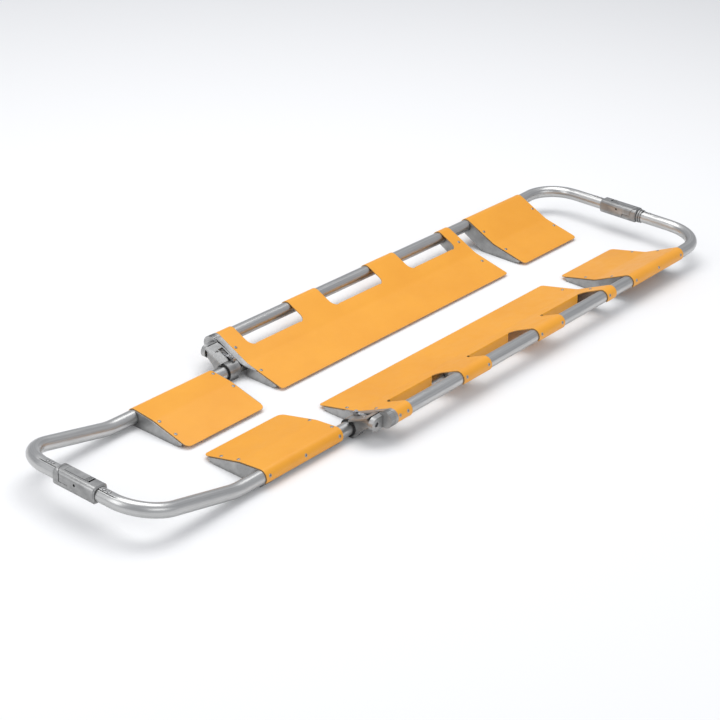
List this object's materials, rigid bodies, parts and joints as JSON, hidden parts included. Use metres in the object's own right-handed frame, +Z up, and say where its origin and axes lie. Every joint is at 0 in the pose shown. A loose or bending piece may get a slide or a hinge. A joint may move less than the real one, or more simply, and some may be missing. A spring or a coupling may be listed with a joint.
{
  "type": "scoop stretcher",
  "caption": "Scoop stretcher of two aluminium halves with bent sheet panels, latched end couplings, hand slots along the rails and a telescoping, folding foot section.",
  "frame": {"origin": "on the floor under the middle of the closed stretcher", "axes": "+X from the foot end to the head end, +Y to the left half, +Z up"},
  "size_m": [1.672, 0.4354, 0.0753],
  "materials": {
    "panel": "satin orange-yellow powder coat",
    "tube": "satin drawn tube",
    "casting": "tumbled die casting",
    "lever": "brushed die casting",
    "steel": "zinc plated",
    "spring_steel": "drawn wire",
    "rivet": "plain blind rivet",
    "nylon": "black nylon"
  },
  "bodies": {
    "left_main": {"left_side_rail": "tube", "left_main_panel": "panel", "left_head_panel": "panel", "left_main_head_bracket": "casting", "left_head_panel_foot_bracket": "casting", "left_head_panel_head_bracket": "casting", "left_fold_housing": "casting", "left_fold_pin": "steel", "left_slide_guide": "casting", "left_main_panel_rivets": "rivet", "left_head_panel_rivets": "rivet", "head_coupling_block": "casting", "head_latch_pin": "steel", "head_latch_spring": "spring_steel", "head_tube_rivets_left": "rivet"},
    "right_main": {"right_side_rail": "tube", "right_main_panel": "panel", "right_head_panel": "panel", "right_main_head_bracket": "casting", "right_head_panel_foot_bracket": "casting", "right_head_panel_head_bracket": "casting", "right_fold_housing": "casting", "right_fold_pin": "steel", "right_slide_guide": "casting", "right_main_panel_rivets": "rivet", "right_head_panel_rivets": "rivet", "head_coupling_jaw": "casting", "head_tube_rivets_right": "rivet"},
    "left_carrier": {"left_slide_carrier": "casting", "left_slide_bush": "nylon", "left_lock_lever_pin": "steel", "left_lock_lever_spring": "spring_steel"},
    "right_carrier": {"right_slide_carrier": "casting", "right_slide_bush": "nylon", "right_lock_lever_pin": "steel", "right_lock_lever_spring": "spring_steel"},
    "left_lock_lever": {"left_lock_lever": "steel"},
    "right_lock_lever": {"right_lock_lever": "steel"},
    "left_lock_plunger": {"left_lock_plunger": "steel"},
    "right_lock_plunger": {"right_lock_plunger": "steel"},
    "left_foot": {"left_foot_tube": "tube", "left_foot_panel": "panel", "left_foot_panel_main_bracket": "casting", "left_foot_panel_foot_bracket": "casting", "left_foot_panel_rivets": "rivet", "left_tail_plug": "nylon", "foot_coupling_jaw": "casting", "foot_tube_rivets_left": "rivet"},
    "right_foot": {"right_foot_tube": "tube", "right_foot_panel": "panel", "right_foot_panel_main_bracket": "casting", "right_foot_panel_foot_bracket": "casting", "right_foot_panel_rivets": "rivet", "right_tail_plug": "nylon", "foot_coupling_block": "casting", "foot_latch_pin": "steel", "foot_latch_spring": "spring_steel", "foot_tube_rivets_right": "rivet"},
    "head_latch": {"head_latch_lever": "lever"},
    "foot_latch": {"foot_latch_lever": "lever"}
  },
  "joints": [
    {"name": "half_swing", "type": "hinge", "parent": "left_main", "child": "right_main", "pos_m": [0.82, -0.018, 0.053], "axis": [0, 0, 1], "range_deg": [0, 45]},
    {"name": "left_foot_fold", "type": "hinge", "parent": "left_main", "child": "left_carrier", "pos_m": [-0.32, 0.18, 0.041], "axis": [0, 1, 0], "range_deg": [0, 175]},
    {"name": "left_foot_slide", "type": "slide", "parent": "left_carrier", "child": "left_foot", "axis": [-1, 0, 0], "range_m": [0, 0.34]},
    {"name": "left_lock_press", "type": "hinge", "parent": "left_carrier", "child": "left_lock_lever", "pos_m": [-0.307, 0.156, 0.0372], "axis": [-1, 0, 0], "range_deg": [0, 15], "stiffness_Nm_per_rad": 0.2},
    {"name": "left_plunger_lift", "type": "slide", "parent": "left_carrier", "child": "left_lock_plunger", "axis": [0, 0, 1], "range_m": [0, 0.0033]},
    {"name": "right_foot_fold", "type": "hinge", "parent": "right_main", "child": "right_carrier", "pos_m": [-0.32, -0.18, 0.041], "axis": [0, 1, 0], "range_deg": [0, 175]},
    {"name": "right_foot_slide", "type": "slide", "parent": "right_carrier", "child": "right_foot", "axis": [-1, 0, 0], "range_m": [0, 0.34]},
    {"name": "right_lock_press", "type": "hinge", "parent": "right_carrier", "child": "right_lock_lever", "pos_m": [-0.307, -0.156, 0.0372], "axis": [1, 0, 0], "range_deg": [0, 15], "stiffness_Nm_per_rad": 0.2},
    {"name": "right_plunger_lift", "type": "slide", "parent": "right_carrier", "child": "right_lock_plunger", "axis": [0, 0, 1], "range_m": [0, 0.0033]},
    {"name": "head_latch_press", "type": "hinge", "parent": "left_main", "child": "head_latch", "pos_m": [0.82, 0.007, 0.0575], "axis": [-1, 0, 0], "range_deg": [0, 8], "stiffness_Nm_per_rad": 0.5, "deforming": ["head_latch_spring"]},
    {"name": "foot_latch_press", "type": "hinge", "parent": "right_foot", "child": "foot_latch", "pos_m": [-0.82, -0.007, 0.0648], "axis": [1, 0, 0], "range_deg": [0, 8], "stiffness_Nm_per_rad": 0.5, "deforming": ["foot_latch_spring"]}
  ],
  "couplings": [
    {"joint": "right_foot_fold", "follows": "left_foot_fold", "ratio": 1},
    {"joint": "right_foot_slide", "follows": "left_foot_slide", "ratio": 1},
    {"joint": "left_plunger_lift", "follows": "left_lock_press", "m_per_rad": 0.012},
    {"joint": "right_plunger_lift", "follows": "right_lock_press", "m_per_rad": 0.012}
  ]
}
